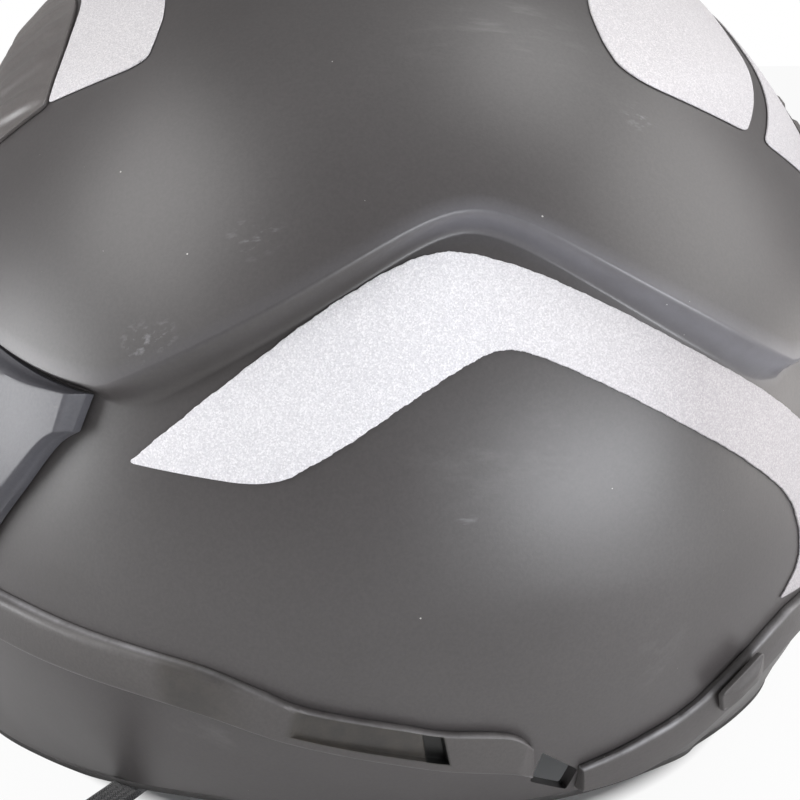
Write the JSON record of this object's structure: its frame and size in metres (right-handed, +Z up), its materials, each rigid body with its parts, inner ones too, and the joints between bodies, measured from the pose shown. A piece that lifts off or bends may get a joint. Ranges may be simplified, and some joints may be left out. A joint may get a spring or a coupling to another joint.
{
  "type": "safety helmet",
  "caption": "Full-shell rescue helmet with retracting face shield, reflective trim, ratchet head harness and buckled chin strap.",
  "frame": {"origin": "centre of the helmet on the plane its rim rests on", "axes": "+Z up, the wearer's face looks along -Y, the wearer's left is +X"},
  "size_m": [0.267, 0.2866, 0.214],
  "materials": {
    "shell": "matt textured coating on a moulded shell",
    "cover": "matt textured coating on moulded covers",
    "trim": "fine texture",
    "gloss_trim": "glossy ribbed moulding",
    "reflective": "glass bead reflective sheet",
    "seal": "matt",
    "visor": "lightly tinted clear polycarbonate",
    "hardware": "moulded nylon",
    "harness": "satin moulded plastic",
    "steel": "plain",
    "foam": "fine-celled foam",
    "pad": "knitted cover over foam",
    "webbing": "woven nylon webbing",
    "button": "red"
  },
  "bodies": {
    "helmet": {"outer_shell": "shell", "rim_seal": "seal", "nape_band_left": "trim", "nape_band_right": "trim", "band_clip": "trim", "rear_chevron": "reflective", "crown_panel_left": "reflective", "crown_panel_right": "reflective", "side_panel_right": "reflective", "rib_plate_left": "gloss_trim", "rib_plate_right": "gloss_trim", "badge_plate": "trim", "side_cover_left": "cover", "side_cover_right": "cover", "pivot_pin_left": "hardware", "pivot_pin_right": "hardware", "cover_screws": "steel", "impact_liner": "foam", "side_pad_left": "pad", "side_pad_right": "pad", "head_band": "harness", "brow_pad": "pad", "ratchet_housing": "harness", "nape_cradle": "harness", "nape_pad": "pad", "crown_strap_long": "webbing", "crown_strap_cross": "webbing", "crown_pad": "pad", "harness_clips": "harness", "harness_rivets": "steel", "strap_anchors": "steel", "nape_strap": "webbing", "chin_strap_front_left": "webbing", "chin_strap_front_right": "webbing", "chin_strap_rear_left": "webbing", "chin_strap_rear_right": "webbing", "strap_dividers": "hardware", "chin_strap_left": "webbing", "chin_strap_right": "webbing", "strap_slider": "hardware", "chin_pad": "pad", "buckle_socket": "hardware", "buckle_tongue": "hardware"},
    "shield": {"face_shield": "visor", "shield_grip": "hardware"},
    "knob": {"ratchet_knob": "harness", "ratchet_pinion": "hardware"},
    "left_tail": {"rack_tail_left": "harness"},
    "right_tail": {"rack_tail_right": "harness"},
    "button": {"buckle_button": "button"}
  },
  "joints": [
    {"name": "shield_tilt", "type": "hinge", "parent": "helmet", "child": "shield", "pos_m": [0, -0.01, 0.073], "axis": [-1, 0, 0], "range_deg": [0, 48]},
    {"name": "knob_turn", "type": "hinge", "parent": "helmet", "child": "knob", "pos_m": [0, 0.00797, 0.076], "axis": [0, 0.9703, -0.2419], "range_deg": [-140, 0]},
    {"name": "left_tail_slide", "type": "hinge", "parent": "helmet", "child": "left_tail", "pos_m": [0, 0.00797, 0.076], "axis": [0, 0.2419, 0.9703], "range_deg": [0, 7.1]},
    {"name": "right_tail_slide", "type": "hinge", "parent": "helmet", "child": "right_tail", "pos_m": [0, 0.00797, 0.076], "axis": [0, 0.2419, 0.9703], "range_deg": [-7.1, 0]},
    {"name": "button_press", "type": "slide", "parent": "helmet", "child": "button", "axis": [0, 0, -1], "range_m": [0, 0.0015], "stiffness_N_per_m": 250, "springref_m": -0.0005}
  ],
  "couplings": [
    {"joint": "left_tail_slide", "follows": "knob_turn", "ratio": -0.05},
    {"joint": "right_tail_slide", "follows": "knob_turn", "ratio": 0.05}
  ]
}
